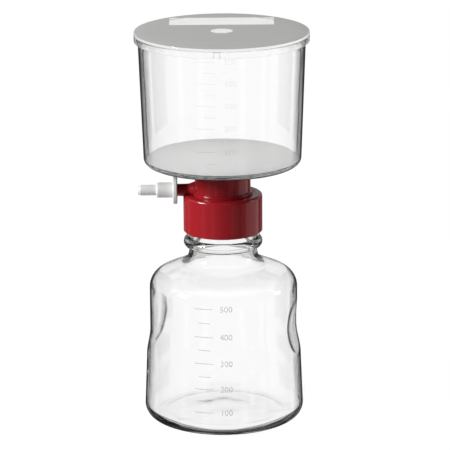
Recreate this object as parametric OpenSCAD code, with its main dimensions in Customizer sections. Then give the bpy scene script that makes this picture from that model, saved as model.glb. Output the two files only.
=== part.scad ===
// Disposable vacuum filtration unit: a lidded feed cup with a membrane in its floor, a red collar
// with a vacuum side arm, and the receiver bottle that the collar screws on to.
// +Z is up. The origin is the centre of the bottle's foot. The side arm points along -X.

/* [Receiver bottle] */
// Outer diameter just above the foot
foot_d = 98.6; // [92:1:110]
// Radius of the rounded foot edge
foot_round = 8; // [5:0.5:10]
// Outer diameter at the top of the flared lower body
lower_d = 96; // [92:0.5:98]
// Height at which the lower body starts to draw in
lower_z = 39; // [30:1:42]
// Outer diameter of the waist, where the bottle is held
waist_d = 91.4; // [80:1:92]
// Height at which the waist is reached
waist_z = 57; // [50:1:62]
// Height at which the shoulder starts to round over
shoulder_z = 83.133; // [76:1:96]
// Radius of the shoulder's rounded edge
shoulder_round = 11; // [6:0.5:13]
// Slope of the shoulder above level
shoulder_slope = 24; // [18:1:36]
// Radius of the hollow between shoulder and neck
throat_round = 8; // [3:0.5:9]
// Wall thickness of the bottle
bottle_wall = 1.2; // [1:0.1:2.6]
// Thickness of the bottle's floor
bottle_floor = 2.4; // [1.6:0.1:3]
// Width of the flat ring that the bottle stands on
stand_w = 3.8; // [2:0.2:8]
// Height of the raised middle of the foot
push_up = 1.8; // [1:0.1:3]

/* [Grip dimples] */
// Depth of each dimple below the waist
dimple_depth = 3.7; // [2.5:0.1:6]
// Half height of each dimple
dimple_half_h = 15; // [13:0.5:19]
// Height of the dimples' middle
dimple_z = 60.5; // [58:0.5:70]
// Radius of each dimple's round hollow, seen from above
dimple_belly = 55.5; // [28:0.5:80]
// Angle of each dimple from the front, to the left and to the right
dimple_angle = 93; // [60:1:100]
// How far the pair is turned from the front towards +X
dimple_turn = -14.6; // [-20:0.2:20]

/* [Bottle neck] */
// Outer diameter of the neck at the throat and between the thread's turns
neck_d = 42; // [38:0.5:44]
// Wall thickness of the neck
neck_wall = 2.6; // [2.2:0.1:3.2]
// Height of the neck above the throat
neck_h = 33; // [30:0.5:38]
// How far the carrying bead stands out from the neck
bead_out = 3.3; // [2.4:0.1:3.8]
// Height of the bead's middle above the throat
bead_rise = 5.8; // [4.5:0.1:7]
// Pitch of the thread
pitch = 4; // [3.5:0.1:4.5]
// Height of the thread's ridge above the neck
thread_h = 1.3; // [1:0.1:1.4]
// Width of the thread's ridge at its root
thread_root_w = 2.4; // [2:0.1:2.5]
// Width of the thread's ridge at its crest
thread_crest_w = 1; // [0.6:0.1:1.2]
// Turns of thread on the bottle
neck_turns = 1.5; // [1:0.25:2]

/* [Collar] */
// Thickness of the collar's threaded skirt
skirt_wall = 1.5; // [1.2:0.1:2]
// Gap between the thread's crests and the surface that they face
thread_gap = 0.5; // [0.3:0.05:0.7]
// Gap between the bottle's bead and the collar's skirt
bead_gap = 3.5; // [1:0.1:6]
// Thickness of the deck over the bottle's mouth
deck_t = 2; // [1.6:0.1:3]
// Radius of the skirt's rounded top edge
skirt_round = 1.6; // [0.8:0.1:1.9]
// Turns of thread in the collar
collar_turns = 1.25; // [1:0.25:1.5]
// How far the collar's neck stands in from its skirt
stem_in = 7.2; // [5.6:0.1:9]
// Wall of the collar's neck
stem_wall = 1.6; // [1.2:0.1:2.4]
// Height of the collar's neck from the deck to the cup
stem_h = 19.4; // [16:0.2:26]
// Height of the low step around the foot of the neck
step_h = 1.7; // [1:0.1:2.5]
// How far the step stands out from the neck
step_out = 1.3; // [0.8:0.1:1.6]
// Radius of the step's rounded edge
step_round = 0.6; // [0.3:0.1:0.8]
// Width of the shallow moat around the step
moat_w = 1.8; // [1:0.1:2]
// Depth of the moat
moat_depth = 0.5; // [0.3:0.1:0.8]
// Outer diameter of the central drip tube
drip_d = 12; // [10:0.5:14]
// Wall of the drip tube
drip_wall = 1.4; // [1:0.1:2]
// How far the drip tube hangs below the deck
drip_drop = 9; // [5:0.5:14]
// Gap between the drip tube and the cup's floor
drip_gap = 5.4; // [3:0.1:8]
// Number of vacuum windows in the deck
window_count = 4; // [3:1:5]
// Radial width of each vacuum window
window_w = 4.5; // [3:0.5:5]
// Angle that each vacuum window takes up
window_angle = 55; // [30:5:60]

/* [Side arm and hose adapter] */
// Diameter of the side arm at its end
arm_d = 7.5; // [7:0.1:8]
// Diameter of the side arm at the neck
arm_root_d = 8; // [7.8:0.1:9]
// How far the side arm reaches out past the skirt
arm_out = 3.7; // [2:0.1:8]
// Thickness left under the side arm, over the bottle's mouth
arm_clear = 0.1; // [0.05:0.05:0.5]
// Bore of the side arm
arm_bore_d = 5; // [4:0.1:5.4]
// Diameter of the adapter's flange
flange_d = 17.2; // [14:0.2:20]
// Thickness of the adapter's flange
flange_t = 2.6; // [1.6:0.1:3.5]
// Diameter of the adapter's thick barrel, for 9.5 mm tubing
barrel_d = 9.4; // [8.5:0.1:10.5]
// Length of the adapter's thick barrel
barrel_l = 10.2; // [7:0.2:12]
// Diameter of the adapter's thin barrel, for 6.4 mm tubing
tip_d = 6.5; // [5.5:0.1:7.2]
// Length of the adapter's thin barrel
tip_l = 11.2; // [7:0.2:11.4]
// Radius of the thick barrel's rounded end
barrel_round = 1.1; // [0.6:0.1:1.4]
// Length of the taper at the tip's end
tip_taper = 1.6; // [0.8:0.1:2.5]
// Bore of the adapter
adapter_bore_d = 3.2; // [2:0.1:3.4]
// Length of the spigot that plugs into the side arm
spigot_l = 8; // [5:0.2:9]
// Gap around the spigot
spigot_gap = 0.15; // [0.1:0.01:0.25]
// Gap between the spigot and the cotton plug
plug_gap = 0.1; // [0:0.1:1]

/* [Feed cup] */
// Outer diameter of the cup at its rim
cup_top_d = 102.4; // [96:0.5:110]
// Outer diameter of the cup just above its rounded foot
cup_foot_d = 96.8; // [92:0.5:104]
// Height of the cup, foot to rim
cup_h = 80.2; // [60:1:100]
// Wall thickness of the cup
cup_wall = 2; // [1.5:0.1:2.6]
// Thickness of the cup's floor
cup_floor = 1.6; // [1.2:0.1:2.4]
// Radius of the cup's rounded foot edge
cup_round = 4; // [2.5:0.1:5]
// How far the outlet spigot reaches into the drip tube
outlet_in = 3.6; // [2:0.1:8]
// Gap between the outlet spigot and the drip tube
outlet_gap = 0.1; // [0.05:0.01:0.2]
// Wall of the outlet spigot
outlet_wall = 1.2; // [0.9:0.1:1.6]

/* [Membrane and support plate] */
// Thickness of the support plate
plate_t = 2; // [1.5:0.1:3]
// Thickness of the support plate's unbroken base
plate_base_t = 0.9; // [0.6:0.1:1.2]
// Number of concentric ribs under the membrane
ring_count = 7; // [4:1:8]
// Width of each concentric rib
ring_w = 1.6; // [1:0.1:2.2]
// Number of radial drain channels
channel_count = 12; // [6:2:16]
// Width of each radial drain channel
channel_w = 2.2; // [1.5:0.1:3]
// Thickness of the membrane
membrane_t = 0.2; // [0.15:0.01:0.4]
// Gap between the membrane or plate and the cup's wall
disc_gap = 0.2; // [0.1:0.05:0.4]

/* [Lid] */
// Thickness of the lid's plate
lid_t = 1.4; // [1:0.1:2]
// Height of the lid's skirt below its plate
lid_skirt_h = 4.3; // [3:0.1:8]
// Thickness of the lid's skirt
lid_wall = 1.2; // [0.9:0.1:1.6]
// Gap between the cup's rim and the lid's skirt
lid_gap = 1; // [0.8:0.1:1.4]
// Radius of the lid's rounded top edge
lid_round = 0.9; // [0.5:0.1:1.1]
// Height of the vent ribs that the lid rests on
vent_h = 0.6; // [0.4:0.1:1]
// Number of vent ribs
vent_count = 4; // [3:1:6]
// Width of each vent rib
vent_w = 4; // [2:0.5:6]
// How far a vent rib reaches in past the cup's rim
vent_reach = 2; // [0.5:0.5:4]
// How far a vent rib stands in from the lid's skirt
vent_in = 0.6; // [0.3:0.1:0.7]

/* [Gasket] */
// Thickness of the gasket under the collar's deck
gasket_t = 1; // [0.6:0.1:1.6]

/* [Hidden] */
$fn = 96;
ROUND_STEPS = 6;     // straight steps in each rounded edge of a turned outline
EASE_STEPS = 5;      // straight steps in the slope between lower body and waist
THREAD_STEPS = 36;   // steps in each turn of thread
THREAD_FADE = 40;    // degrees over which a thread's ends run out
THREAD_SINK = 0.15;  // how deep a thread's ends lie under the wall, as a share of its height
THREAD_FROM = 25;    // angle at which the threads start
EMBED = 0.3;         // how far a ridge or rib is rooted in what carries it
LEAD_IN = 3.2;       // height of plain neck above the bottle's thread
EDGE = 0.4;          // bevel on small edges

foot_r = foot_d / 2;
lower_r = lower_d / 2;
waist_r = waist_d / 2;
neck_r = neck_d / 2;
neck_bore_r = neck_r - neck_wall;
stand_r = foot_r - foot_round - stand_w;

// The shoulder's straight slope touches the shoulder's edge and the throat's hollow.
shoulder_l = (waist_r - neck_r - (shoulder_round + throat_round) * (1 - sin(shoulder_slope)))
             / cos(shoulder_slope);
throat_z = shoulder_z + (shoulder_round + throat_round) * cos(shoulder_slope)
           + shoulder_l * sin(shoulder_slope);
mouth_z = throat_z + neck_h;
bead_z = throat_z + bead_rise;
bead_top = bead_z + bead_out;

thread_top = mouth_z - LEAD_IN - thread_root_w / 2;
thread_start = thread_top - pitch * neck_turns;
crest_r = neck_r + thread_h;
skirt_bore_r = crest_r + thread_gap;
skirt_r = skirt_bore_r + skirt_wall;
skirt_crest_r = neck_r + thread_gap;

deck_z = mouth_z + gasket_t;
deck_top = deck_z + deck_t;
skirt_z = bead_top + bead_gap;
stem_r = skirt_r - stem_in;
stem_bore_r = stem_r - stem_wall;
step_r = stem_r + step_out;
moat_r = step_r + moat_w;
cup_z = deck_top + stem_h;
drip_r = drip_d / 2;
drip_bore_r = drip_r - drip_wall;
drip_top = cup_z - drip_gap;
window_r = (drip_r + stem_bore_r) / 2;

arm_z = deck_z + max(arm_d, arm_root_d) / 2 + arm_clear;
arm_reach = skirt_r + arm_out;
arm_bore_r = arm_bore_d / 2;
spigot_r = arm_bore_r - spigot_gap;
plug_l = arm_reach - spigot_l - plug_gap - stem_bore_r;

cup_top_z = cup_z + cup_h;
cup_top_r = cup_top_d / 2;
cup_foot_r = cup_foot_d / 2;
outlet_r = drip_bore_r - outlet_gap;
outlet_bore_r = outlet_r - outlet_wall;
outlet_z = drip_top - outlet_in;
plate_z = cup_z + cup_floor;
membrane_z = plate_z + plate_t;
disc_r = cup_foot_r - cup_wall - disc_gap;
ring_pitch = (disc_r - outlet_bore_r) / ring_count;

lid_r = cup_top_r + lid_gap + lid_wall;
lid_bore_r = lid_r - lid_wall;
lid_z = cup_top_z + vent_h;

// Points along a round edge about a centre c, from angle a to angle b.
function arc(c, r, a, b, n = ROUND_STEPS) =
    [for (i = [0:n]) c + r * [cos(a + (b - a) * i / n), sin(a + (b - a) * i / n)]];

// Points of a smooth slope from one radius and height to the next.
function ease(from, to, n = EASE_STEPS) =
    [for (i = [0:n]) [from[0] + (to[0] - from[0]) * (1 - cos(180 * i / n)) / 2,
                      from[1] + (to[1] - from[1]) * i / n]];

// Side of the bottle from the foot's edge to the throat, moved in by a wall. Up the slope the wall
// changes evenly to the neck's.
function bottle_side(wall, throat_wall) = concat(
    arc([foot_r - foot_round, foot_round], foot_round - wall, -90, 0),
    ease([lower_r - wall, lower_z], [waist_r - wall, waist_z]),
    arc([waist_r - shoulder_round, shoulder_z], shoulder_round - wall, 0, 90 - shoulder_slope),
    arc([neck_r + throat_round, throat_z], throat_round + throat_wall, 270 - shoulder_slope, 180));

// A helical ridge, rooted in the wall at radius root, with its crest at radius crest. Its ends run
// out into the wall.
module thread(root, crest, z, turns) {
    n = round(turns * THREAD_STEPS);
    inner = root - sign(crest - root) * EMBED;
    inner_w = thread_root_w + (thread_root_w - thread_crest_w) * EMBED / abs(crest - root);
    function height(i) = min(1, i * 360 / THREAD_STEPS / THREAD_FADE * (1 + THREAD_SINK) - THREAD_SINK);
    points = [for (i = [0:n])
        let (a = THREAD_FROM + turns * 360 * i / n, h = z + pitch * turns * i / n,
             outer = root + (crest - root) * min(height(i), height(n - i)))
        each [for (p = [[inner, -inner_w / 2], [outer, -thread_crest_w / 2],
                        [outer, thread_crest_w / 2], [inner, inner_w / 2]])
            [p[0] * cos(a), p[0] * sin(a), h + p[1]]]];
    sides = [for (i = [0:n - 1], k = [0:3])
        let (a = 4 * i + k, b = 4 * i + (k + 1) % 4)
        each [[a, b, b + 4], [a, b + 4, a + 4]]];
    faces = concat([[3, 2, 1, 0]], sides, [[for (k = [0:3]) 4 * n + k]]);
    polyhedron(points, crest > root ? faces : [for (f = faces) [for (k = [len(f) - 1:-1:0]) f[k]]]);
}

// The round cutters of the two grip dimples, grown by a wall for the cavity.
module dimples(wall) {
    depth = dimple_depth;
    bulge = (pow(dimple_half_h, 2) + pow(depth, 2)) / (2 * depth);
    for (side = [-1, 1])
        rotate([0, 0, -90 + side * dimple_angle + dimple_turn])
            translate([waist_r - depth + dimple_belly, 0, dimple_z])
                rotate_extrude()
                    intersection() {
                        translate([dimple_belly - bulge, 0]) circle(bulge + wall);
                        translate([0, -2 * dimple_half_h])
                            square([2 * dimple_belly, 4 * dimple_half_h]);
                    }
}

module bottle() {
    outside = concat(
        [[0, push_up], [stand_r - push_up, push_up], [stand_r, 0]],
        bottle_side(0, 0),
        arc([neck_r, bead_z], bead_out, -90, 90, 2 * ROUND_STEPS),
        [[neck_r, mouth_z - EDGE], [neck_r - EDGE, mouth_z], [0, mouth_z]]);
    cavity = concat(
        [[0, push_up + bottle_floor], [stand_r - push_up, push_up + bottle_floor],
         [stand_r, bottle_floor]],
        [for (p = bottle_side(bottle_wall, neck_wall)) [p[0], max(p[1], bottle_floor)]],
        [[neck_bore_r, mouth_z + 1], [0, mouth_z + 1]]);
    color("gainsboro", 0.3) {
        difference() {
            difference() {
                rotate_extrude() polygon(outside);
                dimples(0);
            }
            difference() {
                rotate_extrude() polygon(cavity);
                dimples(bottle_wall);
            }
        }
        thread(neck_r, crest_r, thread_start, neck_turns);
    }
}

module gasket() {
    color("whitesmoke")
        translate([0, 0, mouth_z])
            rotate_extrude()
                translate([neck_bore_r + thread_gap, 0])
                    square([crest_r - neck_bore_r - thread_gap, gasket_t]);
}

// Windows that let the vacuum pass from the neck's chamber into the bottle.
module deck_windows() {
    for (i = [0:window_count - 1])
        rotate([0, 0, (i + 0.5) * 360 / window_count - window_angle / 2])
            translate([0, 0, deck_z - 1])
                rotate_extrude(angle = window_angle)
                    translate([window_r - window_w / 2, 0]) square([window_w, deck_t + 2]);
}

module collar() {
    shell = concat(
        [[skirt_bore_r, skirt_z], [skirt_r - EDGE, skirt_z], [skirt_r, skirt_z + EDGE]],
        arc([skirt_r - skirt_round, deck_top - skirt_round], skirt_round, 0, 90),
        [[moat_r, deck_top], [moat_r - EDGE, deck_top - moat_depth],
         [step_r, deck_top - moat_depth]],
        arc([step_r - step_round, deck_top + step_h - step_round], step_round, 0, 90),
        [[stem_r, deck_top + step_h], [stem_r, cup_z], [stem_bore_r, cup_z],
         [stem_bore_r, deck_top], [drip_r, deck_top], [drip_r, drip_top],
         [drip_bore_r, drip_top], [drip_bore_r, deck_z - drip_drop],
         [drip_r, deck_z - drip_drop], [drip_r, deck_z], [skirt_bore_r, deck_z]]);
    color("firebrick") {
        difference() {
            union() {
                rotate_extrude() polygon(shell);
                // The side arm stops inside the neck's wall.
                translate([-arm_reach, 0, arm_z])
                    rotate([0, 90, 0])
                        cylinder(r1 = arm_d / 2, r2 = arm_root_d / 2,
                                 h = arm_reach - stem_r + stem_wall / 2);
            }
            deck_windows();
            translate([-arm_reach - 1, 0, arm_z])
                rotate([0, 90, 0])
                    cylinder(r = arm_bore_r, h = arm_reach + 1 - stem_bore_r + stem_wall / 2);
        }
        // The collar's ridge stays midway between the turns on the bottle's neck.
        thread(skirt_bore_r, skirt_crest_r, thread_start - pitch / 2, collar_turns);
    }
}

module cotton_plug() {
    color("ivory")
        translate([-stem_bore_r - plug_l, 0, arm_z])
            rotate([0, 90, 0])
                cylinder(r = arm_bore_r, h = plug_l);
}

module hose_adapter() {
    face = arm_reach;
    flange_end = face + flange_t;
    barrel_end = flange_end + barrel_l;
    tip_end = barrel_end + tip_l;
    barrel_r = barrel_d / 2;
    tip_r = tip_d / 2;
    bore_r = adapter_bore_d / 2;
    outline = concat(
        [[bore_r, face - spigot_l], [spigot_r - EDGE, face - spigot_l],
         [spigot_r, face - spigot_l + 2 * EDGE], [spigot_r, face],
         [flange_d / 2 - EDGE, face], [flange_d / 2, face + EDGE]],
        arc([flange_d / 2 - 2 * EDGE, flange_end - 2 * EDGE], 2 * EDGE, 0, 90),
        [[barrel_r, flange_end]],
        arc([barrel_r - barrel_round, barrel_end - barrel_round], barrel_round, 0, 90),
        [[tip_r, barrel_end], [tip_r, tip_end - tip_taper], [tip_r - 1.5 * EDGE, tip_end],
         [bore_r, tip_end]]);
    color("white")
        translate([0, 0, arm_z])
            rotate([0, -90, 0])
                rotate_extrude() polygon(outline);
}

module feed_cup() {
    outline = concat(
        [[outlet_r, cup_z]],
        arc([cup_foot_r - cup_round, cup_z + cup_round], cup_round, -90, 0),
        [[cup_top_r, cup_top_z - EDGE], [cup_top_r - EDGE, cup_top_z],
         [cup_top_r - cup_wall + EDGE, cup_top_z], [cup_top_r - cup_wall, cup_top_z - EDGE],
         [cup_foot_r - cup_wall, cup_z + cup_round], [cup_foot_r - cup_wall, plate_z],
         [outlet_bore_r, plate_z], [outlet_bore_r, outlet_z],
         [outlet_r - EDGE, outlet_z], [outlet_r, outlet_z + 2 * EDGE]]);
    color("gainsboro", 0.3)
        rotate_extrude() polygon(outline);
}

module support_plate() {
    color("white", 0.6)
        translate([0, 0, plate_z])
            difference() {
                rotate_extrude() {
                    translate([outlet_bore_r, 0]) square([disc_r - outlet_bore_r, plate_base_t]);
                    for (i = [1:ring_count])
                        translate([outlet_bore_r + i * ring_pitch - ring_w, 0])
                            square([ring_w, plate_t]);
                }
                for (i = [0:channel_count - 1])
                    rotate([0, 0, (i + 0.5) * 360 / channel_count])
                        translate([0, -channel_w / 2, plate_base_t])
                            cube([disc_r - ring_w, channel_w, plate_t]);
            }
}

module membrane() {
    color("whitesmoke")
        translate([0, 0, membrane_z]) cylinder(r = disc_r, h = membrane_t);
}

module lid() {
    shell = concat(
        [[0, lid_z], [lid_bore_r, lid_z], [lid_bore_r, lid_z - lid_skirt_h],
         [lid_r, lid_z - lid_skirt_h]],
        arc([lid_r - lid_round, lid_z + lid_t - lid_round], lid_round, 0, 90),
        [[0, lid_z + lid_t]]);
    rib_l = lid_gap + cup_wall + vent_reach;
    color("silver", 0.7) {
        rotate_extrude() polygon(shell);
        for (i = [0:vent_count - 1])
            rotate([0, 0, -90 + i * 360 / vent_count]) {
                translate([lid_bore_r + EMBED - rib_l, -vent_w / 2, cup_top_z])
                    cube([rib_l, vent_w, vent_h + EMBED]);
                translate([lid_bore_r - vent_in, -vent_w / 2, lid_z - lid_skirt_h + vent_in])
                    cube([vent_in + EMBED, vent_w, lid_skirt_h - vent_in + EMBED]);
            }
    }
}

bottle();
gasket();
collar();
cotton_plug();
hose_adapter();
feed_cup();
support_plate();
membrane();
lid();
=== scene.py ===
"""Looks of a disposable vacuum filtration unit: a lidded feed cup with a membrane, a red collar with a side arm,
and a clear receiver bottle. Shapes are given in millimetres and turned into metres by MM."""

import math

import bmesh
import bpy
from mathutils import Matrix, Vector


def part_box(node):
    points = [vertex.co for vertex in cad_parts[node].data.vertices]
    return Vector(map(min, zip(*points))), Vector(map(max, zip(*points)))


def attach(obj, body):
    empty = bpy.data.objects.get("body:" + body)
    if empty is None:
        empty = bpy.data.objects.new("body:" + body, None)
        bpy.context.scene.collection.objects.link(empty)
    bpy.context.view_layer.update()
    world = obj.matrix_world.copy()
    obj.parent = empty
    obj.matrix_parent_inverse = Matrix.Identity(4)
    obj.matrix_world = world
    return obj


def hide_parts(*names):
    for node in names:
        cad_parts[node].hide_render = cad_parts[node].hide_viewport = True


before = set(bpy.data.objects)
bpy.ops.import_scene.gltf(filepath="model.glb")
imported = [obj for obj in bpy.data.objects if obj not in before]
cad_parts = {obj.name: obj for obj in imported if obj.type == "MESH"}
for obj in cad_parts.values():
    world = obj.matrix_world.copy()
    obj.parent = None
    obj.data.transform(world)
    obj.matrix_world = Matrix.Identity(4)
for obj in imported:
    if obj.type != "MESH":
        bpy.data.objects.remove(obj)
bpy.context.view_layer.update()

MM = 0.001
FULL_TURN = 2 * math.pi


def top_of(node):
    """Height of a CAD node's top, in millimetres."""
    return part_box(node)[1].z / MM


def foot_of(node):
    """Height of a CAD node's lowest point, in millimetres."""
    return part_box(node)[0].z / MM


# ---------------------------------------------------------------- sizes

# Receiver bottle, from the foot up. Outer radii and heights.
PUSH_UP, PUSH_UP_FLAT_R, STEP_UP = 1.8, 8.0, 0.2
STAND_R = 37.5
FOOT_R, FOOT_ROUND = 49.3, 8.0
LOWER_R, LOWER_Z = 48.0, 39.0
WAIST_R, WAIST_Z = 45.7, 57.0
SHOULDER_Z, SHOULDER_ROUND, SHOULDER_SLOPE = 83.133, 11.0, 24.0
THROAT_ROUND, THROAT_Z = 8.0, 106.469
NECK_R, NECK_BORE_R = 21.0, 18.4
BEAD_Z, BEAD_OUT = 112.269, 3.3
MOUTH_Z = top_of("bottle")
BOTTLE_WALL, BOTTLE_FLOOR = 1.2, 2.4
MOUTH_ROUND = 0.5

# Grip dimples, pressed in by round hollows that stand beside the bottle. The lips soften their edges.
DIMPLE_Z, DIMPLE_HALF_H, DIMPLE_DEPTH = 60.5, 15.0, 3.7
DIMPLE_BELLY = 55.5
DIMPLE_AZIMUTHS = (162.4, -11.6)
OUTER_LIP, INNER_LIP = 1.4, 0.6
HALVINGS = 24

# Thread on the bottle's neck.
THREAD_PITCH, THREAD_TURNS, THREAD_START = 4.0, 1.5, 129.069
THREAD_H, THREAD_ROOT_W, THREAD_CREST_W, THREAD_SUNK = 1.3, 2.4, 1.0, 0.4
THREAD_FROM = 25.0

# Flare of the side arm, along the arm.
ARM_Z, ARM_R = 144.569, 3.76
ROOT_IN, ROOT_OUT, ROOT_R = 15.5, 22.5, 5.5

# Feed cup.
CUP_Z, CUP_TOP = 161.869, top_of("feed_cup")
CUP_FOOT_R, CUP_TOP_R = 48.4, 51.2
CUP_WALL, CUP_FLOOR, CUP_ROUND, CUP_EDGE = 2.0, 1.6, 4.0, 0.45
OUTLET_R, OUTLET_BORE_R, OUTLET_END = 4.5, 3.3, foot_of("feed_cup")
MEMBRANE_TOP = top_of("membrane")

# Lid.
LID_TOP, LID_FOOT = top_of("lid"), foot_of("lid")
LID_R, LID_WALL, LID_PLATE = 53.4, 1.2, 1.4
LID_ROUND, LID_FOOT_ROUND, LID_UNDER_ROUND = 0.35, 0.1, 0.5
CLEAR_RIM = 0.35
SPOT_R, SPOT_SLOPE, SPOT_DEPTH = 6.7, 0.3, 0.06
PANEL_HALF_W, PANEL_FRONT, PANEL_BACK, PANEL_DEPTH = 32.2, 18.3, 40.3, 0.08

# Tab on the lid's skirt, an upside down U: half widths, heights above the skirt's foot, and how far it stands out
# of the skirt and reaches in.
TAB_HALF_W, TAB_GAP_HALF_W = 2.2, 1.5
TAB_FOOT, TAB_BAR, TAB_TOP = 0.5, 3.6, 4.3
TAB_OUT, TAB_IN, TAB_ROUND = 0.45, 0.4, 0.12
TAB_TURN = -3.2

# Steps around each turned piece, and the angle in degrees from which an edge shows as sharp.
BOTTLE_STEPS, THREAD_STEPS, CUP_STEPS, FLARE_STEPS = 288, 72, 240, 96
SHARP_ANGLE = 35


# ---------------------------------------------------------------- outlines

def arc(centre, radius, start, end, steps=10):
    """Points on a round edge, between two angles in degrees."""
    points = []
    for i in range(steps + 1):
        angle = math.radians(start + (end - start) * i / steps)
        points.append((centre[0] + radius * math.cos(angle), centre[1] + radius * math.sin(angle)))
    return points


def line(start, end, step):
    """Points on a straight run, no further apart than a step."""
    count = max(1, math.ceil(math.dist(start, end) / step))
    return [(start[0] + (end[0] - start[0]) * i / count, start[1] + (end[1] - start[1]) * i / count)
            for i in range(count + 1)]


def ease(start, end, steps):
    """Points on a smooth S curve between two heights, level at both ends."""
    return [(start[0] + (end[0] - start[0]) * i / steps,
             start[1] + (end[1] - start[1]) * (1 - math.cos(math.pi * i / steps)) / 2) for i in range(steps + 1)]


def draw_in(start, end, steps):
    """Points on a smooth S curve between two radii, upright at both ends."""
    return [(r, z) for z, r in ease(start[::-1], end[::-1], steps)]


def bottle_side(wall, throat_wall, floor=0.0):
    """The bottle's side from foot to throat, moved in by a wall that thickens up the slope, from a floor."""
    step = 1.1
    round_r = FOOT_ROUND - wall
    foot = arc((FOOT_R - FOOT_ROUND, floor + round_r), round_r, -90, 0, 16)
    lower = line(foot[-1], (LOWER_R - wall, LOWER_Z), 2.5)
    taper = draw_in((LOWER_R - wall, LOWER_Z), (WAIST_R - wall, WAIST_Z), 18)
    waist = line((WAIST_R - wall, WAIST_Z), (WAIST_R - wall, SHOULDER_Z), step)
    shoulder = arc((WAIST_R - SHOULDER_ROUND, SHOULDER_Z), SHOULDER_ROUND - wall, 0, 90 - SHOULDER_SLOPE, 16)
    throat = arc((NECK_R + THROAT_ROUND, THROAT_Z), THROAT_ROUND + throat_wall, 270 - SHOULDER_SLOPE, 180, 12)
    slope = line(shoulder[-1], throat[0], 3)
    return foot + lower + taper + waist + shoulder + slope + throat


def bottle_outside():
    """The bottle's outer outline, from the middle of the foot to the mouth."""
    foot = ([(0, PUSH_UP)] + ease((PUSH_UP_FLAT_R, PUSH_UP), (STAND_R - 4, STEP_UP), 24)
            + ease((STAND_R - 3.4, STEP_UP), (STAND_R + 1.5, 0), 8))
    bead = arc((NECK_R, BEAD_Z), BEAD_OUT, -90, 90, 20)
    mouth = ([(NECK_R, MOUTH_Z - MOUTH_ROUND)]
             + arc((NECK_R - MOUTH_ROUND, MOUTH_Z - MOUTH_ROUND), MOUTH_ROUND, 0, 90, 4))
    return foot + bottle_side(0, 0) + bead + mouth


def bottle_inside():
    """The bottle's inner outline, from the mouth to the middle of the floor."""
    side = bottle_side(BOTTLE_WALL, NECK_R - NECK_BORE_R, BOTTLE_FLOOR)
    bore = arc((NECK_BORE_R + MOUTH_ROUND, MOUTH_Z - MOUTH_ROUND), MOUTH_ROUND, 180, 90, 4)
    floor = ([(0, PUSH_UP + BOTTLE_FLOOR)]
             + ease((PUSH_UP_FLAT_R, PUSH_UP + BOTTLE_FLOOR), (STAND_R + 1, BOTTLE_FLOOR), 24))
    return (floor + side + bore)[::-1]


def cup_slope():
    """How far the feed cup's wall leans out for each millimetre that it climbs."""
    return (CUP_TOP_R - CUP_FOOT_R) / (CUP_TOP - CUP_Z - CUP_ROUND)


def cup_outline():
    """The feed cup's wall, floor and outlet spigot, as one closed outline."""
    inner_r = CUP_FOOT_R - CUP_WALL
    floor_z = CUP_Z + CUP_FLOOR
    outside = (line((OUTLET_R, CUP_Z), (CUP_FOOT_R - CUP_ROUND, CUP_Z), 6)
               + arc((CUP_FOOT_R - CUP_ROUND, CUP_Z + CUP_ROUND), CUP_ROUND, -90, 0, 12)
               + line((CUP_FOOT_R, CUP_Z + CUP_ROUND), (CUP_TOP_R - cup_slope() * CUP_EDGE, CUP_TOP - CUP_EDGE), 8))
    rim = (arc((CUP_TOP_R - CUP_EDGE, CUP_TOP - CUP_EDGE), CUP_EDGE, 0, 90, 4)
           + arc((CUP_TOP_R - CUP_WALL + CUP_EDGE, CUP_TOP - CUP_EDGE), CUP_EDGE, 90, 180, 4))
    inside = (line((CUP_TOP_R - CUP_WALL, CUP_TOP - CUP_EDGE), (inner_r, CUP_Z + CUP_ROUND), 8)
              + arc((inner_r - CUP_EDGE, floor_z + CUP_EDGE), CUP_EDGE, 0, -90, 3)
              + line((inner_r - CUP_EDGE, floor_z), (OUTLET_BORE_R + CUP_EDGE, floor_z), 6))
    outlet = [(OUTLET_BORE_R, floor_z - CUP_EDGE), (OUTLET_BORE_R, OUTLET_END),
              (OUTLET_R - CUP_EDGE, OUTLET_END), (OUTLET_R, OUTLET_END + 2 * CUP_EDGE)]
    return outside + rim + inside + outlet


def lid_outline():
    """The lid's plate and skirt, with the shallow well of the gate in its middle."""
    bore_r = LID_R - LID_WALL
    under = LID_TOP - LID_PLATE
    foot_z = LID_FOOT + LID_FOOT_ROUND
    plate = ([(0, LID_TOP - SPOT_DEPTH), (SPOT_R - SPOT_SLOPE, LID_TOP - SPOT_DEPTH), (SPOT_R, LID_TOP)]
             + line((SPOT_R + SPOT_SLOPE, LID_TOP), (LID_R - CLEAR_RIM, LID_TOP), 8))
    rim = arc((LID_R - LID_ROUND, LID_TOP - LID_ROUND), LID_ROUND, 90, 0, 6)
    foot = (arc((LID_R - LID_FOOT_ROUND, foot_z), LID_FOOT_ROUND, 0, -90, 3)
            + arc((bore_r + LID_FOOT_ROUND, foot_z), LID_FOOT_ROUND, -90, -180, 3))
    inner = arc((bore_r - LID_UNDER_ROUND, under - LID_UNDER_ROUND), LID_UNDER_ROUND, 0, 90, 4)
    return plate + rim + foot + inner + line((bore_r - 3 * LID_UNDER_ROUND, under), (0, under), 8)


# ---------------------------------------------------------------- making pieces

def turned(bm, outline, steps, closed=False):
    """Spins an outline of (radius, height) points about the unit's axis, into bm. Returns the new vertices."""
    points = [outline[0]] + [b for a, b in zip(outline, outline[1:]) if math.dist(a, b) > 1e-4]
    verts = [bm.verts.new((r * MM, 0, z * MM)) for r, z in points]
    ends = verts[1:] + verts[:1] if closed else verts[1:]
    edges = [bm.edges.new(pair) for pair in zip(verts, ends)]
    before = set(bm.verts) - set(verts)
    bmesh.ops.spin(bm, geom=verts + edges, cent=(0, 0, 0), axis=(0, 0, 1), angle=FULL_TURN, steps=steps,
                   use_merge=True)
    made = [v for v in bm.verts if v not in before]
    bmesh.ops.remove_doubles(bm, verts=made, dist=1e-6)
    return [v for v in bm.verts if v not in before]


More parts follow.
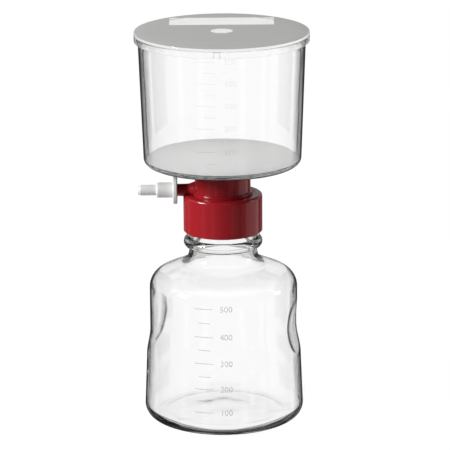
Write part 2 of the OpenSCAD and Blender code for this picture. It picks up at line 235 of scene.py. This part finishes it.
def piece(name, bm, body, slot, *finishes, closed_shell=True):
    """Makes bm a smooth shaded piece that rides on a body and takes the given finishes. Its slot is not used."""
    if closed_shell:
        bmesh.ops.recalc_face_normals(bm, faces=bm.faces)
    mesh = bpy.data.meshes.new(name)
    bm.to_mesh(mesh)
    bm.free()
    for finish in finishes:
        mesh.materials.append(finish)
    mesh.shade_smooth()
    mesh.set_sharp_from_angle(angle=math.radians(SHARP_ANGLE))
    made = bpy.data.objects.new(name, mesh)
    bpy.context.scene.collection.objects.link(made)
    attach(made, body)
    return made


def add_box(bm, low, high, turn, bevel):
    """Adds a box with softened edges, between two corners in millimetres, turned about the unit's axis."""
    size, middle = (Vector(high) - Vector(low)) * MM, (Vector(high) + Vector(low)) * MM / 2
    place = Matrix.Rotation(math.radians(turn), 4, "Z") @ Matrix.Translation(middle) @ Matrix.Diagonal((*size, 1))
    made = bmesh.ops.create_cube(bm, size=1, matrix=place)["verts"]
    edges = {edge for vert in made for edge in vert.link_edges}
    bmesh.ops.bevel(bm, geom=list(edges), offset=bevel * MM, segments=2, profile=0.5, affect="EDGES", material=-1)


# ---------------------------------------------------------------- node trees

def arithmetic(operation, swapped=False):
    """An operator that adds a Math node."""
    def apply(self, other):
        pair = (other, self) if swapped else (self, other)
        return self.tree.node("ShaderNodeMath", {"operation": operation}, dict(enumerate(pair)))
    return apply


class Wire:
    """A socket that gives a value. Sums on it add Math nodes to its tree."""
    __add__ = __radd__ = arithmetic("ADD")
    __mul__ = __rmul__ = arithmetic("MULTIPLY")
    __sub__, __rsub__ = arithmetic("SUBTRACT"), arithmetic("SUBTRACT", True)
    __lt__, __gt__ = arithmetic("LESS_THAN"), arithmetic("GREATER_THAN")
    least, angle = arithmetic("MINIMUM"), arithmetic("ARCTAN2")

    def __init__(self, tree, socket):
        self.tree, self.socket = tree, socket

    def root(self):
        """The square root of the value."""
        return self.tree.node("ShaderNodeMath", {"operation": "SQRT"}, {0: self})

    def limited(self):
        """The value, kept between 0 and 1."""
        return self.tree.node("ShaderNodeClamp", values={"Value": self})

    def absolute(self):
        """The value without its sign."""
        return self.tree.node("ShaderNodeMath", {"operation": "ABSOLUTE"}, {0: self})


class Tree:
    """The nodes of a material or of the world."""

    def __init__(self, owner):
        owner.use_nodes = True
        self.owner, self.nodes, self.links = owner, owner.node_tree.nodes, owner.node_tree.links
        self.nodes.clear()

    def node(self, kind, settings=(), values=(), out=0):
        """A node with its settings, then the values or links of its sockets. Returns one of its outputs."""
        made = self.nodes.new(kind)
        for name, value in dict(settings).items():
            setattr(made, name, value)
        for name, value in dict(values).items():
            if isinstance(value, Wire):
                self.links.new(value.socket, made.inputs[name])
            else:
                made.inputs[name].default_value = value
        return Wire(self, made.outputs[out]) if made.outputs else None

    def path(self, output):
        """One output of the Light Path node."""
        return self.node("ShaderNodeLightPath", out=output)

    def grain(self, scale, detail=2.0, stretch=(1, 1, 1)):
        """Noise from 0 to 1 over the piece, with so many waves a metre."""
        place = self.node("ShaderNodeTexCoord", out="Object")
        place = self.node("ShaderNodeMapping", values={"Vector": place, "Scale": stretch})
        return self.node("ShaderNodeTexNoise", values={"Vector": place, "Scale": scale, "Detail": detail})

    def bump(self, height, depth, strength=1.0):
        """A normal from a height, for waves of a depth in millimetres."""
        return self.node("ShaderNodeBump", values={"Height": height, "Distance": depth * MM, "Strength": strength})

    def blend(self, share, low, high):
        """A colour between two, by a share."""
        return self.node("ShaderNodeMix", {"data_type": "RGBA"}, {0: share, 6: low, 7: high}, out=2)

    def surface(self, shader, inside=None):
        """Ends the tree, and returns what it belongs to."""
        values = {"Surface": shader}
        if inside:
            values["Volume"] = inside
        self.node("ShaderNodeOutputMaterial", values=values)
        return self.owner


# ---------------------------------------------------------------- finishes

EDGE_TINT = (0.82, 0.83, 0.82, 1)
RED_DARK, RED_LIGHT = (0.37, 0.011, 0.018), (0.41, 0.016, 0.023)
WHITE_DARK, WHITE_LIGHT = (0.85, 0.85, 0.84), (0.91, 0.91, 0.90)
SEAL_DARK, SEAL_LIGHT = (0.70, 0.70, 0.68), (0.80, 0.80, 0.78)


def plastic_tree(name):
    """An empty tree of a new material."""
    return Tree(bpy.data.materials.new(name))


def clear_plastic(name, density, wave_depth, waves=45.0):
    """Clear polystyrene, with the slight waves that moulding leaves and a tint that shows along its edges."""
    tree = plastic_tree(name)
    normal = tree.bump(tree.grain(waves, 1.0), wave_depth)
    shell = tree.node("ShaderNodeBsdfPrincipled", values={
        "Base Color": (1, 1, 1, 1), "Roughness": 0.0, "IOR": 1.57, "Transmission Weight": 1.0,
        "Normal": normal})
    inside = tree.node("ShaderNodeVolumeAbsorption", values={"Color": EDGE_TINT, "Density": density})
    return tree.surface(shell, inside)


def moulded_plastic(name, dark, light, rough, texture_depth=0.02):
    """Solid plastic or rubber with a faint mould texture, cloudy colour and uneven gloss."""
    tree = plastic_tree(name)
    clouds, texture = tree.grain(60, 3.0), tree.grain(2600, 2.0)
    shader = tree.node("ShaderNodeBsdfPrincipled", values={
        "Base Color": tree.blend(clouds, (*dark, 1), (*light, 1)),
        "Roughness": rough + (clouds - 0.5) * 0.12,
        "Normal": tree.bump(texture, texture_depth, 0.5)})
    return tree.surface(shader)


def frosted_plastic():
    """The lid's top, etched so finely that it looks flat grey. Where it's seen from inside, it shows a painted glow
    in place of the light that comes through it.
    """
    tree = plastic_tree("frosted_lid_top")
    etch, clouds = tree.grain(5200, 3.0), tree.grain(40, 2.0)
    shader = tree.node("ShaderNodeBsdfPrincipled", values={
        "Base Color": tree.blend(clouds, (0.53, 0.53, 0.52, 1), (0.58, 0.58, 0.57, 1)),
        "Roughness": 0.55 + etch * 0.2, "Normal": tree.bump(etch, 0.04, 0.6)})
    # Painted light: the back of the top glows evenly, in place of light coming through the etched plate.
    glow = tree.node("ShaderNodeEmission", values={"Color": (1, 1, 0.985, 1), "Strength": 0.92})
    back = tree.node("ShaderNodeNewGeometry", out="Backfacing")
    return tree.surface(tree.node("ShaderNodeMixShader", values={0: back, 1: shader, 2: glow}))


def membrane_finish():
    """Matt white film with fine pores, with a painted glow in place of the light that reaches it through the clear
    parts around it.
    """
    tree = plastic_tree("membrane_film")
    pores, clouds = tree.grain(9000, 2.0), tree.grain(28, 2.0)
    # Painted light: the emission brightens the film, standing in for light that reaches it through the clear lid,
    # walls and plate.
    shader = tree.node("ShaderNodeBsdfPrincipled", values={
        "Base Color": tree.blend(clouds * 0.7 + pores * 0.3, (0.74, 0.74, 0.735, 1), (0.84, 0.84, 0.835, 1)),
        "Roughness": 0.85, "Specular IOR Level": 0.3, "Normal": tree.bump(pores, 0.02, 0.6),
        "Emission Color": (1, 1, 1, 1), "Emission Strength": 0.32})
    return tree.surface(shader)


def mark_finish(name, strength):
    """Raised graduations, duller than the wall that they stand on, in a painted grey that stands in for the shade
    their clear edges show, more or less strongly.
    """
    tree = plastic_tree(name)
    grain = tree.grain(1500, 2.0)
    # Painted shade: the grey colour stands in for the shade that the clear raised marks show by bending light.
    shader = tree.node("ShaderNodeBsdfPrincipled", values={
        "Base Color": tree.blend(grain, (0.36, 0.37, 0.37, 1), (0.48, 0.49, 0.49, 1)),
        "Roughness": 0.5, "Alpha": strength})
    return tree.surface(shader)


def cotton_finish():
    """Loose pressed fibre."""
    tree = plastic_tree("cotton_fibre")
    fibre = tree.grain(2500, 6.0, (1, 0.2, 1))
    shader = tree.node("ShaderNodeBsdfPrincipled", values={
        "Base Color": tree.blend(fibre, (0.78, 0.76, 0.71, 1), (0.92, 0.91, 0.88, 1)),
        "Roughness": 0.95, "Normal": tree.bump(fibre, 0.3)})
    return tree.surface(shader)


# ---------------------------------------------------------------- studio

BACKDROP_WHITE = 1.02
THROUGH_WALLS = 1.09

# The floor's half width in metres and drop in millimetres, its paper, its own glow, how much of the glow the camera
# sees, and how much of the studio shows past it through clear walls.
FLOOR_HALF, FLOOR_DROP = 4.0, 0.05
FLOOR_PAPER, FLOOR_GLOW, FLOOR_GLOW_SHARE, FLOOR_PAST = 0.42, 1.16, 0.84, 0.9

# Boards of the studio, from one angle to another with a soft edge, in degrees. "Sides" and "corners" are turned away
# from the nearest of the unit's four sides, "height" is above level, and "turn" goes round from +X.
SIDES, LOW_SIDES, LOW_SIDES_HEIGHT = (13, 18, 1.0), (10, 13, 0.8), (-60, -15.2, 0.5)
CORNERS, CORNERS_HEIGHT = (25, 34, 2.0), (-40, -13.5, 1.0)
FLOOR_HEIGHT, OVERHEAD_HEIGHT = (-95, -45, 8.0), (45, 100, 8.0)
RIGHT_TURN = (-20, 38, 2.0)
STRIP_TURN, STRIP_HEIGHT = (-51, -46, 1.5), (-13.8, -9, 0.4)
BACK_CORNERS = (8, 50, 1.5)
INNER_CORNERS, INNER_HEIGHT = (3, 40, 3.0), (-26, -2, 4.0)

# What each board gives or takes away, where 1 is white.
SIDES_TAKE, LOW_SIDES_TAKE = 0.85, 0.95
LOW_ROOM, CORNERS_GIVE, FLOOR_GIVE, RIGHT_GIVE, STRIP_GIVE = 0.04, 0.3, 0.2, 0.6, 1.3
BACK_ROOM, BACK_OUTER_TAKE, BACK_CORNERS_TAKE = 0.95, 0.45, 0.85
BACK_OVERHEAD_TAKE, BACK_OVERHEAD_OUTER = 0.6, 0.4
FRONT_ROOM, FRONT_OVERHEAD_GIVE = 0.05, 0.45
INNER_ROOM, INNER_GIVE = 0.02, 0.83
MATT_ROOM, MATT_OVERHEAD_GIVE = 0.03, 0.45


def rays(tree):
    """Sorts light paths: straight from the camera, straight through clear walls, and mirrored by some face."""
    straight = (tree.path("Glossy Depth") < 0.5) * (tree.path("Diffuse Depth") < 0.5)
    through = straight * tree.path("Is Transmission Ray")
    mirrored = (tree.path("Glossy Depth") > 0.5) * (tree.path("Diffuse Depth") < 0.5)
    return straight, through, mirrored


def board(tree, angle, low, high, soft):
    """1 between two angles in degrees and 0 beyond them, with soft edges."""
    def step(edge):
        return tree.node("ShaderNodeMapRange", {"interpolation_type": "SMOOTHSTEP"}, {
            0: angle, 1: math.radians(edge - soft), 2: math.radians(edge + soft)})
    return step(low) * (1 - step(high))


def studio_world():
    """White behind the unit, and a room that is brighter overhead for light and reflections. Dark boards stand
    off its four sides, where only clear edges bend or mirror them into sight."""
    world = bpy.data.worlds.new("studio")
    bpy.context.scene.world = world
    tree = Tree(world)
    direction = tree.node("ShaderNodeTexCoord", out="Generated")
    x, y, z = (tree.node("ShaderNodeSeparateXYZ", values={0: direction}, out=axis) for axis in "XYZ")
    height = z.limited()
    below = z < 0
    turn = y.angle(x)
    fold = y.absolute().angle(x.absolute())
    fold = fold.least(math.pi / 2 - fold)
    straight, through, mirrored = rays(tree)
    rise = z.angle((x * x + y * y).root())
    back = y > 0

    # Whether a path has gone through no face of a clear wall, or through more than two.
    outer = tree.path("Transmission Depth") < 0.5
    deep = tree.path("Transmission Depth") > 2.5

    # What shows straight through clear walls.
    low_sides = board(tree, rise, *LOW_SIDES_HEIGHT) * board(tree, fold, *LOW_SIDES)
    sides = low_sides * LOW_SIDES_TAKE + board(tree, fold, *SIDES) * SIDES_TAKE
    behind = straight * BACKDROP_WHITE + through * (THROUGH_WALLS - 1 - sides)

    # What outer faces and single walls mirror, below level and above it.
    corners = board(tree, fold, *CORNERS) * board(tree, rise, *CORNERS_HEIGHT)
    strip = board(tree, turn, *STRIP_TURN) * board(tree, rise, *STRIP_HEIGHT)
    low_room = (LOW_ROOM + corners * CORNERS_GIVE + board(tree, rise, *FLOOR_HEIGHT) * FLOOR_GIVE
                + outer * (board(tree, turn, *RIGHT_TURN) * RIGHT_GIVE + strip * STRIP_GIVE))
    over = board(tree, rise, *OVERHEAD_HEIGHT)
    high_back = (BACK_ROOM - outer * BACK_OUTER_TAKE - over * (BACK_OVERHEAD_TAKE - outer * BACK_OVERHEAD_OUTER)
                 - (1 - outer) * board(tree, fold, *BACK_CORNERS) * BACK_CORNERS_TAKE)
    high_room = back * high_back + (1 - back) * (FRONT_ROOM + over * FRONT_OVERHEAD_GIVE)

    # What is mirrored further inside.
    inner_board = back * board(tree, rise, *INNER_HEIGHT) * board(tree, fold, *INNER_CORNERS)
    inner_room = INNER_ROOM + (1 - inner_board) * INNER_GIVE

    mirror = deep * inner_room + (1 - deep) * (below * low_room + (1 - below) * high_room)
    matt = tree.path("Diffuse Depth").limited() * (MATT_ROOM + height * MATT_OVERHEAD_GIVE)
    strength = behind + mirrored * mirror + matt
    shown = tree.node("ShaderNodeBackground", values={"Color": (1, 1, 1, 1), "Strength": strength})
    tree.node("ShaderNodeOutputWorld", values={"Surface": shown})


def studio_floor():
    """A plain white floor that keeps the unit's shadow. Clear walls and reflections show the studio past it."""
    tree = plastic_tree("floor_white")
    straight, through, mirrored = rays(tree)
    paper = tree.node("ShaderNodeBsdfDiffuse", values={"Color": (FLOOR_PAPER, FLOOR_PAPER, FLOOR_PAPER, 1)})
    glow = tree.node("ShaderNodeEmission", values={"Color": (1, 1, 1, 1), "Strength": FLOOR_GLOW})
    past = tree.node("ShaderNodeBsdfTransparent", values={"Color": (1, 1, 1, 1)})
    lit = tree.node("ShaderNodeMixShader", values={0: straight * FLOOR_GLOW_SHARE, 1: paper, 2: glow})
    unseen = mirrored + through * FLOOR_PAST
    finish = tree.surface(tree.node("ShaderNodeMixShader", values={0: unseen, 1: lit, 2: past}))
    bm = bmesh.new()
    bmesh.ops.create_grid(bm, x_segments=1, y_segments=1, size=FLOOR_HALF,
                          matrix=Matrix.Translation((0, 0, -FLOOR_DROP * MM)))
    mesh = bpy.data.meshes.new("floor")
    bm.to_mesh(mesh)
    bm.free()
    mesh.materials.append(finish)
    floor = bpy.data.objects.new("floor", mesh)
    bpy.context.scene.collection.objects.link(floor)


# Lamps: place, target and size in metres, and power in watts.
KEY_LAMP = ((-1.75, -0.7, 1.03), (0, 0, 0.14), (0.6, 0.6), 43.0)
RIM_LAMP = ((1.5, 0.12, 0.42), (0, 0, 0.12), (0.35, 0.35), 1.3)


def softbox(name, place, target, size, power):
    """A soft lamp aimed at a point. Clear walls don't show it."""
    lamp = bpy.data.lights.new(name, "AREA")
    lamp.shape, lamp.size, lamp.size_y, lamp.energy = "RECTANGLE", size[0], size[1], power
    holder = bpy.data.objects.new(name, lamp)
    bpy.context.scene.collection.objects.link(holder)
    holder.location = place
    holder.rotation_euler = (Vector(target) - Vector(place)).to_track_quat("-Z", "Y").to_euler()
    holder.visible_transmission = False
    holder.visible_camera = False


# The lens and sensor in millimetres, the camera's place in metres, and how far it looks down and leans.
LENS, SENSOR = 240.6, 36.0
CAMERA_PLACE = (0.00122, -1.787, 0.6199)
LOOK_DOWN, LEAN = 0.27175, math.radians(-0.40)


def camera():
    """Looks at the unit from the front, a little above it, through a long lens."""
    lens = bpy.data.cameras.new("camera")
    lens.lens, lens.sensor_width = LENS, SENSOR
    lens.clip_start, lens.clip_end = 0.1, 50
    holder = bpy.data.objects.new("camera", lens)
    bpy.context.scene.collection.objects.link(holder)
    holder.location = CAMERA_PLACE
    pitch, lean = Matrix.Rotation(math.pi / 2 - LOOK_DOWN, 3, "X"), Matrix.Rotation(LEAN, 3, "Z")
    holder.rotation_euler = (pitch @ lean).to_euler()
    bpy.context.scene.camera = holder


# ---------------------------------------------------------------- receiver bottle

def dimple_pull(radius, angle, height, wall, lip):
    """How far the grip dimples draw a point of the wall in, in millimetres, with a rounded lip."""
    bulge = (DIMPLE_HALF_H ** 2 + DIMPLE_DEPTH ** 2) / (2 * DIMPLE_DEPTH)
    reach = WAIST_R - DIMPLE_DEPTH + DIMPLE_BELLY
    pull = 0.0
    for azimuth in DIMPLE_AZIMUTHS:
        turn = angle - math.radians(azimuth)
        if math.cos(turn) < 0.5:
            continue
        side = reach * abs(math.sin(turn))
        rise = height - DIMPLE_Z
        # The hollow's surface along this direction, found by halving.
        near, far = radius - 3 * DIMPLE_DEPTH, radius + 3 * DIMPLE_DEPTH

        def inside(r):
            away = math.hypot(reach * math.cos(turn) - r, side)
            return math.hypot(away - (DIMPLE_BELLY - bulge), rise) < bulge + wall

        if not inside(far):
            continue
        for _ in range(HALVINGS):
            middle = (near + far) / 2
            if inside(middle):
                far = middle
            else:
                near = middle
        depth = radius - far
        if depth > lip:
            pull = depth
        elif depth > -lip:
            pull = (depth + lip) ** 2 / (4 * lip)
    return pull


def press_dimples(verts, wall, lip):
    """Draws the wall's vertices in at the grip dimples."""
    for vert in verts:
        x, y, z = (c / MM for c in vert.co)
        radius = math.hypot(x, y)
        if radius > WAIST_R - SHOULDER_ROUND and abs(z - DIMPLE_Z) < 1.6 * DIMPLE_HALF_H:
            share = 1 - dimple_pull(radius, math.atan2(y, x), z, wall, lip) / radius
            vert.co.x *= share
            vert.co.y *= share


def bottle_thread(bm):
    """Adds the neck's thread, a ridge that climbs as it goes round, its root sunk into the neck's wall."""
    steps = int(THREAD_TURNS * THREAD_STEPS)
    section = [(NECK_R - THREAD_SUNK, -THREAD_ROOT_W / 2), (NECK_R, -THREAD_ROOT_W / 2),
               (NECK_R + THREAD_H, -THREAD_CREST_W / 2), (NECK_R + THREAD_H, THREAD_CREST_W / 2),
               (NECK_R, THREAD_ROOT_W / 2), (NECK_R - THREAD_SUNK, THREAD_ROOT_W / 2)]
    before = set(bm.verts)
    verts = [bm.verts.new((r * MM, 0, (THREAD_START + z) * MM)) for r, z in section]
    face = bm.faces.new(verts)
    bmesh.ops.spin(bm, geom=[face], cent=(0, 0, 0), axis=(0, 0, 1), angle=FULL_TURN * THREAD_TURNS, steps=steps,
                   dvec=(0, 0, THREAD_PITCH * THREAD_TURNS / steps * MM))
    made = [v for v in bm.verts if v not in before]
    bmesh.ops.rotate(bm, verts=made, cent=(0, 0, 0), matrix=Matrix.Rotation(math.radians(THREAD_FROM), 3, "Z"))


def build_bottle(clear):
    """The bottle's shell, outside and inside, and the thread on its neck."""
    bm = bmesh.new()
    press_dimples(turned(bm, bottle_outside(), BOTTLE_STEPS), 0.0, OUTER_LIP)
    inner = turned(bm, bottle_inside(), BOTTLE_STEPS)
    press_dimples(inner, BOTTLE_WALL, INNER_LIP)
    bmesh.ops.remove_doubles(bm, verts=bm.verts, dist=1e-6)
    shell = piece("bottle_shell", bm, "bottle", "clear_bottle", clear)
    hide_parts("bottle")
    bm = bmesh.new()
    bottle_thread(bm)
    piece("bottle_thread", bm, "bottle", "clear_bottle", clear)


# ---------------------------------------------------------------- graduations

# How thick the marks are and how deep they sit in the wall, how wide a line is, and how high a number.
MARK_T, MARK_SUNK, MARK_LINE_W = 0.2, 0.05, 0.38
NUMBER_H, FONT_SHARE = 3.7, 1.4

# Where lines begin and end at whole and half hundreds, and where numbers begin, sideways from the front.
BOTTLE_WHOLE, BOTTLE_HALF, BOTTLE_NUMBER = (-18.2, -6.5), (-15.6, -8.2), -2.4
CUP_WHOLE, CUP_HALF, CUP_NUMBER = (-17.0, -4.0), (-11.5, -4.0), 1.0

# Height of the bottle's line for each volume in millilitres, and the step in height that fills the cup.
BOTTLE_MARKS = {100: 16.2, 150: 23.6, 200: 31.0, 250: 38.8, 300: 46.9, 350: 55.0, 400: 63.4, 450: 72.2, 500: 81.2}
FILL_STEP = 0.02


def wrap(bm, verts, radius, middle, height):
    """Bends flat marks, drawn with x across and y up in metres, on to a round wall, raised by their z."""
    for vert in verts:
        x, y, raised = vert.co
        angle = -math.pi / 2 + (x + middle * MM) / (radius * MM)
        r = radius * MM + raised
        vert.co = (r * math.cos(angle), r * math.sin(angle), height * MM + y)


def add_tick(bm, radius, left, right, height):
    """A raised line along the wall, between two distances from the front."""
    before = set(bm.verts)
    middle, width = (left + right) / 2, right - left
    made = bmesh.ops.create_grid(bm, x_segments=12, y_segments=1, size=0.5,
                                 matrix=Matrix.Diagonal((width * MM, MARK_LINE_W * MM, 1, 1)))["verts"]
    faces = list({face for vert in made for face in vert.link_faces})
    lifted = bmesh.ops.extrude_face_region(bm, geom=faces)["geom"]
    bmesh.ops.translate(bm, verts=[g for g in lifted if isinstance(g, bmesh.types.BMVert)], vec=(0, 0, MARK_T * MM))
    wrap(bm, [v for v in bm.verts if v not in before], radius - MARK_SUNK, middle, height)


def add_number(bm, text, radius, left, height):
    """A raised number on the wall, its left edge at a distance from the front."""
    curve = bpy.data.curves.new("number", "FONT")
    curve.body, curve.size, curve.extrude = text, NUMBER_H * FONT_SHARE * MM, MARK_T * MM / 2
    curve.resolution_u, curve.align_x, curve.align_y = 3, "LEFT", "CENTER"
    holder = bpy.data.objects.new("number", curve)
    bpy.context.scene.collection.objects.link(holder)
    bpy.context.view_layer.update()
    flat = bpy.data.meshes.new_from_object(holder.evaluated_get(bpy.context.evaluated_depsgraph_get()))
    before = set(bm.verts)
    bm.from_mesh(flat)
    made = [v for v in bm.verts if v not in before]
    bmesh.ops.remove_doubles(bm, verts=made, dist=1e-7)
    made = [v for v in bm.verts if v not in before]
    bmesh.ops.translate(bm, verts=made, vec=(0, 0, MARK_T * MM / 2))
    wrap(bm, made, radius - MARK_SUNK, left, height)
    bpy.data.objects.remove(holder)
    bpy.data.curves.remove(curve)
    bpy.data.meshes.remove(flat)


def bottle_radius(height):
    """The bottle's outer radius at a height between foot and shoulder."""
    side = bottle_side(0, 0)
    for (r0, z0), (r1, z1) in zip(side, side[1:]):
        if z0 <= height <= z1 and z1 > z0:
            return r0 + (r1 - r0) * (height - z0) / (z1 - z0)
    return WAIST_R


def build_bottle_marks(finish):
    """Lines and numbers up the bottle's front."""
    bm = bmesh.new()
    for volume, height in BOTTLE_MARKS.items():
        radius = bottle_radius(height)
        whole = volume % 100 == 0
        add_tick(bm, radius, *(BOTTLE_WHOLE if whole else BOTTLE_HALF), height)
        if whole:
            add_number(bm, str(volume), radius, BOTTLE_NUMBER, height)
    piece("bottle_marks", bm, "bottle", "clear_bottle", finish)


def build_cup_marks(finish):
    """Lines and numbers up the feed cup's front, where what it holds over the membrane reaches each volume."""
    bm = bmesh.new()
    height, held = MEMBRANE_TOP, 0.0
    for volume in range(50, 501, 50):
        while held < volume * 1000:
            radius = CUP_FOOT_R + cup_slope() * (height - CUP_Z - CUP_ROUND)
            held += math.pi * (radius - CUP_WALL) ** 2 * FILL_STEP
            height += FILL_STEP
        whole = volume % 100 == 0
        add_tick(bm, radius, *(CUP_WHOLE if whole else CUP_HALF), height)
        if whole:
            add_number(bm, str(volume), radius, CUP_NUMBER, height)
    piece("cup_marks", bm, "filter_head", "clear_cup", finish)


# ---------------------------------------------------------------- feed cup and lid

def build_cup(clear):
    """The feed cup's shell."""
    bm = bmesh.new()
    turned(bm, cup_outline(), CUP_STEPS, closed=True)
    shell = piece("cup_shell", bm, "filter_head", "clear_cup", clear)
    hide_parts("feed_cup")


def build_lid(clear, frosted):
    """The lid's shell, clear with a frosted top, the clear panel sunk in it and the tab on its skirt."""
    bm = bmesh.new()
    turned(bm, lid_outline(), CUP_STEPS)
    bmesh.ops.recalc_face_normals(bm, faces=bm.faces)

    def on_top(face):
        return face.normal.z > 0.99 and face.calc_center_median().z > (LID_TOP - 0.05) * MM

    # The top is cut along the panel's four sides.
    for x, y, nx, ny in ((-PANEL_HALF_W, 0, 1, 0), (PANEL_HALF_W, 0, 1, 0), (0, PANEL_FRONT, 0, 1),
                         (0, PANEL_BACK, 0, 1)):
        top = [face for face in bm.faces if on_top(face)]
        parts = {part for face in top for part in (face, *face.edges, *face.verts)}
        bmesh.ops.bisect_plane(bm, geom=list(parts), plane_co=(x * MM, y * MM, 0), plane_no=(nx, ny, 0), dist=1e-7)
    panel = []
    for face in bm.faces:
        middle = face.calc_center_median() / MM
        if on_top(face) and math.hypot(middle.x, middle.y) < LID_R - LID_ROUND:
            if abs(middle.x) < PANEL_HALF_W and PANEL_FRONT < middle.y < PANEL_BACK:
                panel.append(face)
            elif SPOT_R < math.hypot(middle.x, middle.y) < LID_R - CLEAR_RIM:
                face.material_index = 1
    sunk = bmesh.ops.extrude_face_region(bm, geom=panel)["geom"]
    bmesh.ops.delete(bm, geom=panel, context="FACES_ONLY")
    bmesh.ops.translate(bm, verts=[g for g in sunk if isinstance(g, bmesh.types.BMVert)],
                        vec=(0, 0, -PANEL_DEPTH * MM))
    for left, right, low in ((-TAB_HALF_W, -TAB_GAP_HALF_W, TAB_FOOT), (TAB_GAP_HALF_W, TAB_HALF_W, TAB_FOOT),
                             (-TAB_HALF_W, TAB_HALF_W, TAB_BAR)):
        add_box(bm, (left, -LID_R - TAB_OUT, LID_FOOT + low), (right, -LID_R + TAB_IN, LID_FOOT + TAB_TOP),
                TAB_TURN, TAB_ROUND)
    shell = piece("lid_shell", bm, "lid", "frosted_lid", clear, frosted, closed_shell=False)
    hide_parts("lid")


def build_arm_root(red):
    """The flare that carries the side arm into the collar's stem."""
    bm = bmesh.new()
    flare = draw_in((ROOT_R, ROOT_IN), (ARM_R, ROOT_OUT), 12)
    made = turned(bm, [(0, ROOT_IN)] + flare + [(0, ROOT_OUT)], FLARE_STEPS)
    bmesh.ops.rotate(bm, verts=made, cent=(0, 0, 0), matrix=Matrix.Rotation(-math.pi / 2, 3, "Y"))
    bmesh.ops.translate(bm, verts=made, vec=(0, 0, ARM_Z * MM))
    piece("arm_root", bm, "filter_head", "red_plastic", red)


def refinish(node, finish):
    """Gives a CAD node a better material."""
    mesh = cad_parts[node].data
    mesh.materials.clear()
    mesh.materials.append(finish)


camera()
studio_world()
studio_floor()
softbox("key", *KEY_LAMP)
softbox("rim", *RIM_LAMP)

build_bottle(clear_plastic("clear_bottle_wall", density=70.0, wave_depth=0.5))
build_bottle_marks(mark_finish("bottle_graduation", strength=0.34))
build_cup(clear_plastic("clear_cup_wall", density=25.0, wave_depth=0.08))
build_cup_marks(mark_finish("cup_graduation", strength=0.07))
build_lid(clear_plastic("clear_lid_wall", density=12.0, wave_depth=0.05), frosted_plastic())
refinish("support_plate", clear_plastic("clear_plate_wall", density=10.0, wave_depth=0.4, waves=300.0))
refinish("membrane", membrane_finish())
red = moulded_plastic("red_moulding", RED_DARK, RED_LIGHT, rough=0.2, texture_depth=0.008)
refinish("collar", red)
build_arm_root(red)
refinish("hose_adapter", moulded_plastic("white_moulding", WHITE_DARK, WHITE_LIGHT, rough=0.38))
refinish("gasket", moulded_plastic("seal_rubber", SEAL_DARK, SEAL_LIGHT, rough=0.6))
refinish("cotton_plug", cotton_finish())

bpy.context.scene.view_settings.view_transform = "Standard"
# Light that runs round inside the neck's bead and the cup's foot needs many turns to come out.
tracing = bpy.context.scene.cycles
tracing.max_bounces, tracing.glossy_bounces, tracing.transmission_bounces = 32, 24, 24
